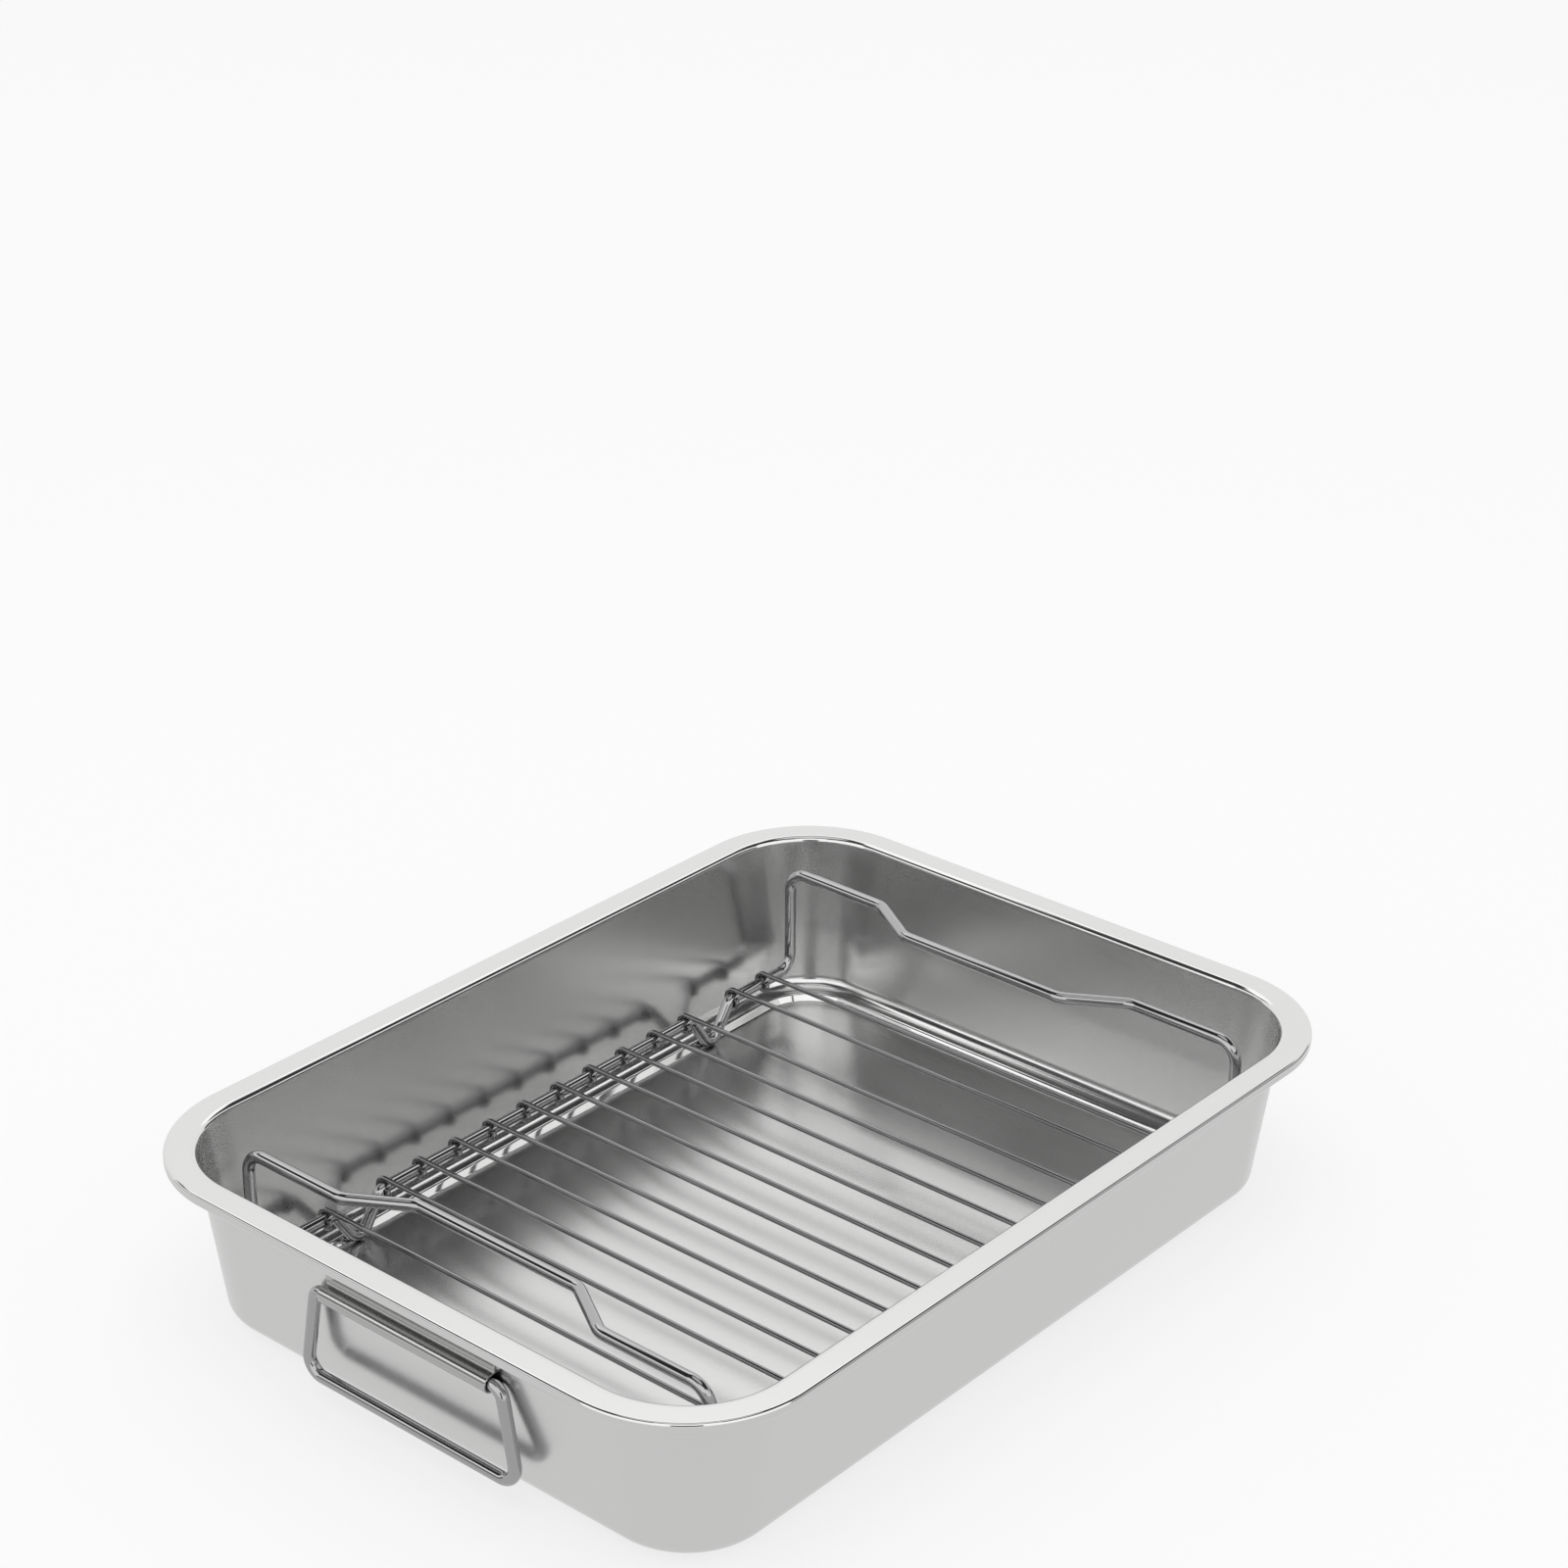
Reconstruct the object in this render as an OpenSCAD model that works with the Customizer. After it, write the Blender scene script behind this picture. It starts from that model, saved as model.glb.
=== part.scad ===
// Roasting pan with two hanging bail handles and a lift-out wire rack.
// +Z is up and +X runs along the long side. The origin is under the middle of the base.

/* [Pan] */
// Length over the rim
pan_length = 400; // [370:1:440]
// Width over the rim
pan_width = 301; // [280:1:340]
// Height from the table to the top of the rim
pan_height = 74; // [70:1:95]
// Thickness of the pan's sheet
sheet = 0.8; // [0.6:0.1:1]
// Corner radius of the rim, seen from above
rim_corner = 54; // [50:1:60]
// Flat of the rim, from its outer edge to the bend into the wall
rim_flat = 10; // [8:0.5:11]
// Bend from the rim into the wall, on the upper face
rim_bend = 2.6; // [2:0.2:4]
// Depth of the folded edge of the rim
edge_depth = 4.5; // [4:0.1:5.5]
// Slope of the walls from upright, in degrees
wall_slope = 7.5; // [6:0.5:8.5]
// Round between the wall and the ledge, on the inner face
cove = 6; // [5:0.5:7]
// Flat of the ledge round the floor
ledge_flat = 1.5; // [1:0.1:2.5]
// Drop from the ledge to the floor
floor_drop = 2.2; // [1.5:0.1:2.6]

/* [Bail handles] */
// Wire of the bails
bail_wire = 5; // [4:0.5:5.5]
// Distance between the upper corners of a bail, on the wire's centre line
bail_top = 95; // [90:1:110]
// Distance between the lower corners of a bail
bail_bottom = 109; // [100:1:125]
// Drop from the hinge line to the lower bar
bail_drop = 38; // [32:1:40]
// Upper bends of a bail, on the centre line
bail_top_bend = 5; // [4.5:0.5:7]
// Lower bends of a bail
bail_bottom_bend = 7; // [5:0.5:10]
// Depth of the hinge line below the top of the rim
hinge_depth = 24; // [20:1:25]
// Free play round the bail's top bar
hinge_play = 0.35; // [0.3:0.05:0.6]
// Sheet of the brackets
bracket_sheet = 0.8; // [0.6:0.1:1]
// Height of the bracket's tab above its channel
tab_height = 9; // [6:0.5:10]
// Height of the lip below its channel
lip_height = 1.6; // [1:0.2:3]

/* [Rack] */
// Wire of the rack's frame
rack_wire = 5; // [4:0.5:5.5]
// Wire of the cross rods
rod_wire = 2.2; // [1.8:0.1:3]
// Gap between the feet and the floor of the pan
rack_seat_gap = 0.3; // [0.3:0.05:0.5]
// Gap from a rail's centre line to the edge of the floor, across the pan
rail_margin = 1.5; // [1.5:0.5:4]
// Gap from a handle's centre plane to the edge of the floor, along the pan
handle_margin = 11.2; // [10:0.1:16]
// Height of the rails above the feet, between centre lines
foot_drop = 14.7; // [12:0.1:17]
// Width of a foot's dip where it leaves the rail
foot_width = 25; // [22:0.5:26]
// Bend at the tip of a foot
foot_tip_bend = 5; // [4:0.5:6]
// Bends where a foot's dip leaves the rail
foot_top_bend = 4; // [3:0.5:5]
// Rise of the handles above the rails, between centre lines
handle_rise = 48; // [40:1:50]
// Bends between the rails and the handle posts
post_low_bend = 8; // [6:0.5:10]
// Bends between the handle posts and the top bars
post_high_bend = 9; // [7:0.5:12]
// Length of a handle's grip, between its bends
grip_length = 82; // [70:1:90]
// Inward step of the grip
grip_inset = 15.4; // [8:0.1:16]
// Run of the slanted wire on each side of the grip
grip_run = 25; // [20:0.5:30]
// Bends on each side of the grip
grip_bend = 10; // [6:0.5:14]
// Number of cross rods between the feet
middle_rods = 10; // [8:1:11]
// Space between the two rods beside each foot
foot_bay = 31; // [29:0.5:34]
// Space between the two rods at each end
end_bay = 20.2; // [16:0.2:24]
// Space from the last rod to the handle's centre plane
end_reach = 17.7; // [16:0.1:20]
// Angle that each rod's end curls round the rail, in degrees
curl_angle = 290; // [240:5:300]
// Play between a curled rod end and the rail
curl_play = 0.05; // [0.05:0.01:0.2]

/* [Hidden] */
$fn = 48;
end_names = ["left", "right"];
rods = middle_rods + 4;
rod_names = [for (i = [1:rods]) str("rack_rod_", i)];

// Colours
sheet_steel = "silver";
bright_wire = "gainsboro";

// Folded edge of the rim, as radii on the outer face
edge_bend = 1.2;
curl_bend = 1.4;
curl_return = 0.8;

// Bends of the step from the ledge down to the floor, on the middle of the sheet
step_bend = 1;
step_angle = 55;

// Angle between the points of a bend in the sheet, and how far the flat floor laps onto the swept profile
profile_step = 15;
floor_lap = 1;

// How much thinner a bent wire is, and how far its bends run inside the straights
bend_thinning = 0.02;
bend_run_in = 0.2;

// Across the wall, a place is [distance in from the rim's outer edge, height]
wall_in = [cos(wall_slope), sin(wall_slope)];
rim_bend_centre = [rim_flat, pan_height - rim_bend];
wall_top = rim_bend_centre + rim_bend * wall_in;
ledge_top = floor_drop + sheet;
wall_foot_height = ledge_top + cove * (1 - sin(wall_slope));
wall_length = (wall_top[1] - wall_foot_height) / cos(wall_slope);
wall_foot = wall_top + wall_length * [sin(wall_slope), -cos(wall_slope)];
cove_centre = wall_foot + cove * wall_in;
step_start = cove_centre[0] + ledge_flat;
step_straight = (floor_drop - 2 * step_bend * (1 - cos(step_angle))) / sin(step_angle);
step_run = 2 * step_bend * sin(step_angle) + step_straight * cos(step_angle);
floor_edge = step_start + step_run;
floor_half_length = pan_length / 2 - floor_edge;
floor_half_width = pan_width / 2 - floor_edge;

// Hinge line, on the end wall's outer face at the hinge's depth
hinge_reach = bail_wire / 2 + hinge_play;
hinge_foot_height = pan_height - hinge_depth + hinge_reach * sin(wall_slope);
outer_wall_top = rim_bend_centre + (rim_bend - sheet) * wall_in;
hinge_foot_inset = outer_wall_top[0] + (outer_wall_top[1] - hinge_foot_height) * tan(wall_slope);
hinge_x = pan_length / 2 - hinge_foot_inset + hinge_reach * cos(wall_slope);
hinge_z = pan_height - hinge_depth;

// Each end of a bracket stops where the bail's top bar starts to bend
bail_lean = atan(2 * bail_drop / (bail_bottom - bail_top));
bracket_end_gap = 0.5;
bracket_length = bail_top - 2 * (bail_top_bend * tan(bail_lean / 2) + bracket_end_gap);

// Rack, with its feet standing on the floor of the pan
rail_y = floor_half_width - rail_margin;
handle_x = floor_half_length - handle_margin;
foot_z = sheet + rack_seat_gap + rack_wire / 2;
rail_z = foot_z + foot_drop;
handle_z = rail_z + handle_rise;
last_rod_x = handle_x - end_reach;
foot_x = last_rod_x - end_bay - foot_bay / 2;
middle_half_span = foot_x - foot_bay / 2;
middle_bay = 2 * middle_half_span / (middle_rods - 1);

// Unrounded depth of a foot, whose tip bend brings its centre line up to foot_drop
foot_half = foot_width / 2;
tip_slack = foot_drop - foot_tip_bend;
tip_share = 1 - pow(foot_tip_bend / foot_half, 2);
foot_point = (tip_slack + sqrt(tip_slack * tip_slack
    - tip_share * (tip_slack * tip_slack - foot_tip_bend * foot_tip_bend))) / tip_share;

// Where the rods lie, from the left end to the right
rod_places = concat(
    [-last_rod_x, -last_rod_x + end_bay],
    [for (i = [0:middle_rods - 1]) -middle_half_span + i * middle_bay],
    [last_rod_x - end_bay, last_rod_x]
);
curl_radius = rack_wire / 2 + curl_play + rod_wire / 2;

function unit(v) = v / norm(v);
function turn(a, b) = acos(max(-1, min(1, a * b)));
function backwards(list) = [for (i = [len(list) - 1:-1:0]) list[i]];
function mirrored(list, sx, sy) = [for (p = list) [p[0] * sx, p[1] * sy, p[2], p[3]]];

// Turns the X, Y and Z axes to three given directions and moves the origin to a place
module placed(x_dir, y_dir, z_dir, place) {
    multmatrix([
        [x_dir[0], y_dir[0], z_dir[0], place[0]],
        [x_dir[1], y_dir[1], z_dir[1], place[1]],
        [x_dir[2], y_dir[2], z_dir[2], place[2]],
        [0, 0, 0, 1]
    ]) children();
}

// A round bend of a wire, turning from the X axis towards the Y axis. A bent wire is drawn a hair thinner,
// and the bend runs a little way inside the straights at both ends.
module wire_bend(bend, angle, wire) {
    run_in = bend_run_in / bend * 180 / PI;
    rotate([0, 0, -run_in]) rotate_extrude(angle = angle + 2 * run_in)
        translate([bend, 0]) circle(d = wire - bend_thinning);
}

// A closed wire through corners [x, y, z, bend radius], with its straights joined by round bends
module closed_wire(corners, wire) {
    count = len(corners);
    place = [for (c = corners) [c[0], c[1], c[2]]];
    ahead = [for (i = [0:count - 1]) unit(place[(i + 1) % count] - place[i])];
    behind = [for (i = [0:count - 1]) ahead[(i + count - 1) % count]];
    angle = [for (i = [0:count - 1]) turn(behind[i], ahead[i])];
    trim = [for (i = [0:count - 1]) corners[i][3] * tan(angle[i] / 2)];
    for (i = [0:count - 1]) {
        next = (i + 1) % count;
        bend_axis = unit(cross(behind[i], ahead[i]));
        outward = cross(behind[i], bend_axis);
        bend_centre = place[i] - trim[i] * behind[i] - corners[i][3] * outward;
        placed(outward, behind[i], bend_axis, bend_centre) wire_bend(corners[i][3], angle[i], wire);
        straight = norm(place[next] - place[i]) - trim[i] - trim[next];
        placed(bend_axis, cross(ahead[i], bend_axis), ahead[i], place[i] + trim[i] * ahead[i])
            cylinder(d = wire, h = straight);
    }
}

// Part of a ring between two radii, from one angle to another, less than half a turn
module arc_band(centre, inner, outer, from, to) {
    far = 2 * outer;
    middle = (from + to) / 2;
    translate(centre) intersection() {
        difference() {
            circle(outer);
            circle(inner);
        }
        polygon([
            [0, 0],
            far * [cos(from), sin(from)],
            far * [cos(middle), sin(middle)],
            far * [cos(to), sin(to)]
        ]);
    }
}

// Points on one face of the sheet round a bend, given as [centre, seen radius, hidden radius, from, to]
function bend_points(bend, face) = let (
    steps = ceil(abs(bend[4] - bend[3]) / profile_step),
    radius = bend[face]
) [for (i = [0:steps]) let (a = bend[3] + (bend[4] - bend[3]) * i / steps) bend[0] + radius * [cos(a), sin(a)]];

// The pan's sheet from the curled edge of the rim to the floor, measured outwards from a corner's centre
module sheet_profile() {
    curl_centre = [curl_bend, pan_height - edge_depth + curl_bend];
    edge_centre = [edge_bend, pan_height - edge_bend];
    half_sheet = sheet / 2;
    bends = [
        [curl_centre, curl_bend, curl_bend - sheet, 360, 180],
        [edge_centre, edge_bend, edge_bend - sheet, 180, 90],
        [rim_bend_centre, rim_bend, rim_bend - sheet, 90, wall_slope],
        [cove_centre, cove, cove + sheet, 180 + wall_slope, 270],
        [[step_start, ledge_top - half_sheet - step_bend], step_bend + half_sheet,
            step_bend - half_sheet, 90, 90 - step_angle],
        [[floor_edge, half_sheet + step_bend], step_bend - half_sheet,
            step_bend + half_sheet, 270 - step_angle, 270]
    ];
    free_end = curl_centre + [0, curl_return];
    floor_end = floor_edge + 2 * floor_lap;
    seen_face = [for (bend = bends) each bend_points(bend, 1)];
    hidden_face = [for (bend = bends) each bend_points(bend, 2)];
    translate([rim_corner, 0]) mirror([1, 0]) polygon(concat(
        [free_end + [curl_bend, 0]],
        seen_face,
        [[floor_end, sheet], [floor_end, 0]],
        backwards(hidden_face),
        [free_end + [curl_bend - sheet, 0]]
    ));
}

// Drawn-sheet pan: the profile swept round the rim, and the flat floor
module pan() {
    corner_x = pan_length / 2 - rim_corner;
    corner_y = pan_width / 2 - rim_corner;
    plate_x = floor_half_length - floor_lap;
    plate_y = floor_half_width - floor_lap;
    plate_corner = rim_corner - floor_edge - floor_lap;
    color(sheet_steel) {
        for (flip_x = [0, 1], flip_y = [0, 1])
            mirror([flip_x, 0, 0]) mirror([0, flip_y, 0])
                translate([corner_x, corner_y, 0]) rotate_extrude(angle = 90) sheet_profile();
        for (flip_x = [0, 1])
            mirror([flip_x, 0, 0]) translate([corner_x, corner_y, 0]) rotate([90, 0, 0])
                linear_extrude(2 * corner_y) sheet_profile();
        for (flip_y = [0, 1])
            mirror([0, flip_y, 0]) translate([-corner_x, corner_y, 0]) rotate([90, 0, 90])
                linear_extrude(2 * corner_x) sheet_profile();
        linear_extrude(sheet) {
            square([2 * plate_x, 2 * corner_y], center = true);
            square([2 * corner_x, 2 * plate_y], center = true);
            for (sx = [-1, 1], sy = [-1, 1])
                translate([sx * corner_x, sy * corner_y]) circle(plate_corner);
        }
    }
}

// Strip of a bracket, as [distance out from the wall, height above the hinge line along the wall]
module bracket_profile() {
    inner = hinge_reach;
    outer = inner + bracket_sheet;
    arc_band([inner, 0], inner, outer, -90, 0);
    arc_band([inner, 0], inner, outer, 0, 90);
    translate([0, inner]) square([inner, bracket_sheet]);
    translate([0, -outer]) square([inner, bracket_sheet]);
    translate([0, inner]) square([bracket_sheet, tab_height + bracket_sheet]);
    translate([0, -outer - lip_height]) square([bracket_sheet, lip_height + bracket_sheet]);
}

// Bracket at the right end, flat on the sloping wall; the left one is its mirror image
module bracket(side) {
    color(sheet_steel) mirror([side == "left" ? 1 : 0, 0, 0])
        translate([pan_length / 2 - hinge_foot_inset, 0, hinge_foot_height]) rotate([0, wall_slope, 0])
            translate([0, bracket_length / 2, 0]) rotate([90, 0, 0])
                linear_extrude(bracket_length) bracket_profile();
}

// Bail of one closed wire, hanging upright from its top bar
module bail(side) {
    x = side == "left" ? -hinge_x : hinge_x;
    low_z = hinge_z - bail_drop;
    color(bright_wire) closed_wire([
        [x, -bail_top / 2, hinge_z, bail_top_bend],
        [x, bail_top / 2, hinge_z, bail_top_bend],
        [x, bail_bottom / 2, low_z, bail_bottom_bend],
        [x, -bail_bottom / 2, low_z, bail_bottom_bend]
    ], bail_wire);
}

// Frame of one closed wire: two rails with dipped feet, and a stepped handle at each end
module rack_frame() {
    // a quarter of the wire, from the middle of a rail to the middle of a handle
    quarter = [
        [foot_x - foot_half, rail_y, rail_z, foot_top_bend],
        [foot_x, rail_y, rail_z - foot_point, foot_tip_bend],
        [foot_x + foot_half, rail_y, rail_z, foot_top_bend],
        [handle_x, rail_y, rail_z, post_low_bend],
        [handle_x, rail_y, handle_z, post_high_bend],
        [handle_x, grip_length / 2 + grip_run, handle_z, grip_bend],
        [handle_x - grip_inset, grip_length / 2, handle_z, grip_bend]
    ];
    color(bright_wire) closed_wire(concat(
        quarter,
        backwards(mirrored(quarter, 1, -1)),
        mirrored(quarter, -1, -1),
        backwards(mirrored(quarter, -1, 1))
    ), rack_wire);
}

// One cross rod, laid over the rails with both ends curled round them
module rack_rod(x) {
    color(bright_wire) translate([x, 0, rail_z]) {
        translate([0, rail_y, curl_radius]) rotate([90, 0, 0]) cylinder(d = rod_wire, h = 2 * rail_y);
        for (flip = [0, 1])
            mirror([0, flip, 0]) translate([0, rail_y, 0])
                placed([0, 0, 1], [0, 1, 0], [-1, 0, 0], [0, 0, 0])
                    wire_bend(curl_radius, curl_angle, rod_wire);
    }
}

pan();
for (side = end_names) {
    bracket(side);
    bail(side);
}
rack_frame();
for (i = [0:rods - 1])
    rack_rod(rod_places[i]);
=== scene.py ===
"""Looks of the roasting pan with rack: a satin drawn pan, folded brackets, and bright bent wires."""

import math

import bpy
from mathutils import Matrix, Vector


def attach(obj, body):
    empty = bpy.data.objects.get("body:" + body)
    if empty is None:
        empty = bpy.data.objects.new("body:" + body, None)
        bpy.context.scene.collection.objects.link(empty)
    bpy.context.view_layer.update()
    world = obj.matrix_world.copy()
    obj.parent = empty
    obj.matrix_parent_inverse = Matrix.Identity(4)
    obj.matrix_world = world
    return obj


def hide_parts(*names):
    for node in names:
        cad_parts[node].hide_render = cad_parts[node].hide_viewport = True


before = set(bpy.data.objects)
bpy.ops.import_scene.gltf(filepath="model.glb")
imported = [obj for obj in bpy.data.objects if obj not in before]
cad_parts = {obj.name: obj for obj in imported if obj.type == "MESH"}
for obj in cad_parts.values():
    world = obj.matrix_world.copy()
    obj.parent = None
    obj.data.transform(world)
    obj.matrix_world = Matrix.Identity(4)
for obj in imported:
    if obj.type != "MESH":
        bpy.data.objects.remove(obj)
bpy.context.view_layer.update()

# Sizes of the object are in millimetres and angles in degrees, and the scene is in metres
MM = 0.001

# Pan. The floor's edge is counted in from the rim. Its step is drawn a little deeper than the solid's
PAN_LENGTH = 400
PAN_WIDTH = 301
PAN_HEIGHT = 74
SHEET = 0.8
RIM_CORNER = 54
RIM_FLAT = 10
RIM_BEND = 2.6
EDGE_DEPTH = 4.5
EDGE_BEND = 1.2
CURL_BEND = 1.4
CURL_RETURN = 0.8
WALL_SLOPE = 7.5
COVE = 6
FLOOR_EDGE = 30.971
FLOOR_DROP = 3
STEP_BEND = 1
STEP_ANGLE = 55
SHEET_NICK = 0.12

# Bails and their brackets. The hinge's depth is counted down from the rim's top
BAIL_WIRE = 5
BAIL_TOP = 95
BAIL_BOTTOM = 109
BAIL_DROP = 38
BAIL_TOP_BEND = 5
BAIL_BOTTOM_BEND = 7
HINGE_DEPTH = 24
HINGE_PLAY = 0.35
BRACKET_SHEET = 0.8
TAB_HEIGHT = 9
LIP_HEIGHT = 1.6
FOLD_BEND = 0.9
INNER_FOLD_BEND = 0.3
BRACKET_END_GAP = 0.5
BRACKET_EASE = 0.12

# Rack. A margin runs from the floor's edge in to the middle of a wire, and a bay lies between two rods
RACK_WIRE = 5
ROD_WIRE = 2.2
RACK_SEAT_GAP = 0.3
RAIL_MARGIN = 1.5
HANDLE_MARGIN = 11.2
FOOT_DROP = 14.7
FOOT_WIDTH = 25
FOOT_TIP_BEND = 5
FOOT_TOP_BEND = 4
HANDLE_RISE = 48
POST_LOW_BEND = 8
POST_HIGH_BEND = 9
GRIP_LENGTH = 82
GRIP_INSET = 15.4
GRIP_RUN = 25
GRIP_BEND = 10
MIDDLE_RODS = 10
END_RODS = 2
RODS = MIDDLE_RODS + 2 * END_RODS
FOOT_BAY = 31
END_BAY = 20.2
END_REACH = 17.7
CURL_ANGLE = 290
CURL_PLAY = 0.05
CURL_SHIFT = 2.3
CURL_DRIFT_POWER = 1.3
CUT_CHAMFER = 0.18
HAND_SPREAD = 0.15
HAND_SEED = 7

# Smoothness: degrees for each facet of a bend, sides of a wire, and from what angle an edge is sharp
SHEET_STEP = 6
CORNER_STEP = 3
FOLD_STEP = 15
WIRE_STEP = 4
CURL_STEP = 8
WIRE_SIDES = 32
ROD_SIDES = 20
SHARP_ANGLE = 38
EASED_ANGLE = 60

# Points this far off the bends keep flats and straights true, in section and wires, and along the rim
SUPPORT = 0.3
SIDE_SUPPORT = 1

# A flat in the sheet's section has such points from the first length on, and is satin from the second
SUPPORTED_FLAT = 4 * SUPPORT
SATIN_FLAT = 5

# Polish of the sheet, from 0 on its satin flats to 1 where the tool drew it tightly
FLAT_POLISH = 0.0
COVE_POLISH = 0.4
RIM_POLISH = 0.8
TIGHT_POLISH = 1.0
BEND_POLISH = "bend_polish"

# Finishes: colour, roughness, and the grain's scale on the object's own coordinates
PAN_COLOUR = (0.67, 0.67, 0.665, 1)
FLAT_ROUGHNESS = 0.22
BEND_ROUGHNESS = 0.06
CLOUD_ROUGHNESS = 0.015
CLOUD_SCALE = 14
SHEET_GRAIN_SCALE = 900
SHEET_GRAIN_DETAIL = 2
SHEET_GRAIN_STRENGTH = 0.05
SHEET_GRAIN_DEPTH = 0.04 * MM
STRIP_COLOUR = (0.46, 0.46, 0.455, 1)
STRIP_ROUGHNESS = (0.09, 0.17)
STREAK_STRETCH = (60, 1, 60)
STREAK_SCALE = 20
WIRE_TONE = 0.4
ROD_TONE = 0.26
WIRE_BLUE_SHARE = 1.01
WIRE_ROUGHNESS = (0.035, 0.075)
DRAW_MARK_SCALE = 120
GRAIN_DETAIL = 3
EVEN = (1, 1, 1)

# Between these two values lies nearly all of a noise
NOISE_LOW = 0.3
NOISE_HIGH = 0.7

# Studio, in metres. A colour or a level of 1 is white
TABLE_REACH = 30
TABLE_COLOUR = (0.93, 0.93, 0.93, 1)
TABLE_ROUGHNESS = 0.9
TABLE_GLOW = 0.7
WORLD_LEVEL = 0.85
LAMP_PLACE = (-0.3, -0.2, 2.2)
LAMP_AIM = (0, 0, 0)
LAMP_SIZE = (1.2, 1.2)
LAMP_POWER = 7

# Rings have this many sides, and a whole turn stops one degree short, so that its ends stay apart
RING_SIDES = 48
WHOLE_TURN = 359

# Level rings that only show in the metal: name, height, inner and outer radius, two azimuths, and level
RINGS = [
    ("pale_ceiling", 2.0, 0, 0.75, 0, WHOLE_TURN, 0.85),
    ("dark_ceiling", 2.0, 0.75, 2.9, 0, WHOLE_TURN, 0.05),
    ("back_softbox", 1.4, 0.85, 1.6, 92, 196, 1.45),
    # A grey disc just over the table, seen only in the metal, is a painted shadow: it darkens the table
    # near the pan, where the pan's own shade falls
    ("painted_table_shadow", 0.0004, 0, 0.42, 0, WHOLE_TURN, 0.8),
]

# Cards that only show in the metal: name, azimuth, elevation, distance, width, height and level
CARDS = [
    ("card_right_low", 46, 7, 3.0, 4.0, 1.4, 0.05),
    ("card_right", 49, 25, 2.9, 3.0, 0.4, 1.1),
    ("card_left_low", -130, 6, 3.0, 3.4, 1.15, 0.3),
    ("card_left", -133, 25, 2.9, 3.4, 0.75, 1.5),
    ("card_left_high", -133, 37, 2.85, 3.4, 0.42, 0.05),
    ("card_camera_left", -88, 26, 2.0, 2.4, 1.9, 1.35),
    ("card_camera", -49, 14, 1.8, 0.6, 1.0, 0.08),
    ("card_camera_top", -49, 46, 1.8, 1.0, 0.9, 1.4),
    ("card_camera_right", -10, 26, 2.0, 2.4, 1.9, 1.35),
    ("card_back", 131, 28, 2.2, 5.0, 1.5, 1.08),
]

# The photograph's view, solved from the rim. Places and lens are in millimetres, near and far in metres
CAMERA_AZIMUTH = -49.31
CAMERA_ELEVATION = 25.12
CAMERA_ROLL = 0.32
CAMERA_AIM = (211.84, 168.67, PAN_HEIGHT)
CAMERA_DISTANCE = 1596.05
CAMERA_LENS = 79.716
CAMERA_SENSOR = 36
CAMERA_NEAR = 0.05
CAMERA_FAR = 100


def cos(degrees):
    return math.cos(math.radians(degrees))


def sin(degrees):
    return math.sin(math.radians(degrees))


def tan(degrees):
    return math.tan(math.radians(degrees))


def flat_vector(across, up):
    return Vector((across, up))


def direction(azimuth, elevation):
    """Away from the set towards a viewer, who looks along +Y at azimuth 0 and along -X at azimuth 90."""
    return Vector((sin(azimuth) * cos(elevation), -cos(azimuth) * cos(elevation), sin(elevation)))


# The wall's section. A place on it is (distance in from the rim's outer edge, height)
WALL_IN = flat_vector(cos(WALL_SLOPE), sin(WALL_SLOPE))
WALL_DOWN = flat_vector(sin(WALL_SLOPE), -cos(WALL_SLOPE))
RIM_BEND_CENTRE = flat_vector(RIM_FLAT, PAN_HEIGHT - RIM_BEND)
WALL_TOP = RIM_BEND_CENTRE + RIM_BEND * WALL_IN
LEDGE_TOP = FLOOR_DROP + SHEET
WALL_FOOT_HEIGHT = LEDGE_TOP + COVE * (1 - sin(WALL_SLOPE))
WALL_FOOT = WALL_TOP + WALL_DOWN * (WALL_TOP.y - WALL_FOOT_HEIGHT) / cos(WALL_SLOPE)
COVE_CENTRE = WALL_FOOT + COVE * WALL_IN
STEP_STRAIGHT = (FLOOR_DROP - 2 * STEP_BEND * (1 - cos(STEP_ANGLE))) / sin(STEP_ANGLE)
STEP_START = FLOOR_EDGE - 2 * STEP_BEND * sin(STEP_ANGLE) - STEP_STRAIGHT * cos(STEP_ANGLE)

# Hinge lines of the bails, and the length that a bail's top bends leave for its bracket
HINGE_REACH = BAIL_WIRE / 2 + HINGE_PLAY
HINGE_Z = PAN_HEIGHT - HINGE_DEPTH
HINGE_FOOT_HEIGHT = HINGE_Z + HINGE_REACH * sin(WALL_SLOPE)
OUTER_WALL_TOP = RIM_BEND_CENTRE + (RIM_BEND - SHEET) * WALL_IN
HINGE_FOOT_INSET = OUTER_WALL_TOP.x + (OUTER_WALL_TOP.y - HINGE_FOOT_HEIGHT) * tan(WALL_SLOPE)
HINGE_X = PAN_LENGTH / 2 - HINGE_FOOT_INSET + HINGE_REACH * cos(WALL_SLOPE)
BAIL_LEAN = math.degrees(math.atan(2 * BAIL_DROP / (BAIL_BOTTOM - BAIL_TOP)))
BRACKET_LENGTH = BAIL_TOP - 2 * (BAIL_TOP_BEND * tan(BAIL_LEAN / 2) + BRACKET_END_GAP)

# Places on the rack, with its feet on the floor of the pan
RAIL_Y = PAN_WIDTH / 2 - FLOOR_EDGE - RAIL_MARGIN
HANDLE_X = PAN_LENGTH / 2 - FLOOR_EDGE - HANDLE_MARGIN
RAIL_Z = SHEET + RACK_SEAT_GAP + RACK_WIRE / 2 + FOOT_DROP
HANDLE_Z = RAIL_Z + HANDLE_RISE
LAST_ROD_X = HANDLE_X - END_REACH
FOOT_X = LAST_ROD_X - END_BAY - FOOT_BAY / 2
MIDDLE_HALF_SPAN = FOOT_X - FOOT_BAY / 2
FOOT_HALF = FOOT_WIDTH / 2

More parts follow.
